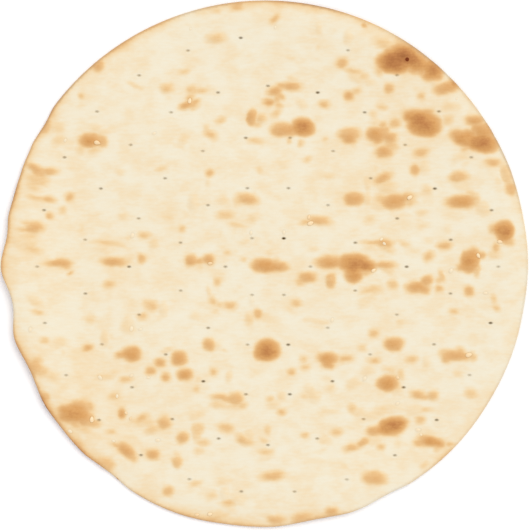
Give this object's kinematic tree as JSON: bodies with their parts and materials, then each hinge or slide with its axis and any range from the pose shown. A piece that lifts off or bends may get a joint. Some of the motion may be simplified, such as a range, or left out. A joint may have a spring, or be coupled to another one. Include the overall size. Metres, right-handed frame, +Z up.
{
  "type": "lavash crackerbread",
  "caption": "Thin round crisp flatbread with rings of docking holes, low toasted blisters, a browned wavy rim and sesame seeds sunk in its top.",
  "frame": {"origin": "under the middle of the disc, on the plane of the flat underside that it rests on", "axes": "+Z up out of the blistered top, +X and +Y across the disc, with the dented stretch of rim towards -X"},
  "size_m": [0.305, 0.305, 0.0058],
  "materials": {
    "baked_dough": "matt, dry, toasted brown on blisters and rim",
    "sesame_seed": "satin, slightly oily"
  },
  "bodies": {
    "root": {"crackerbread": "baked_dough"}
  },
  "joints": []
}
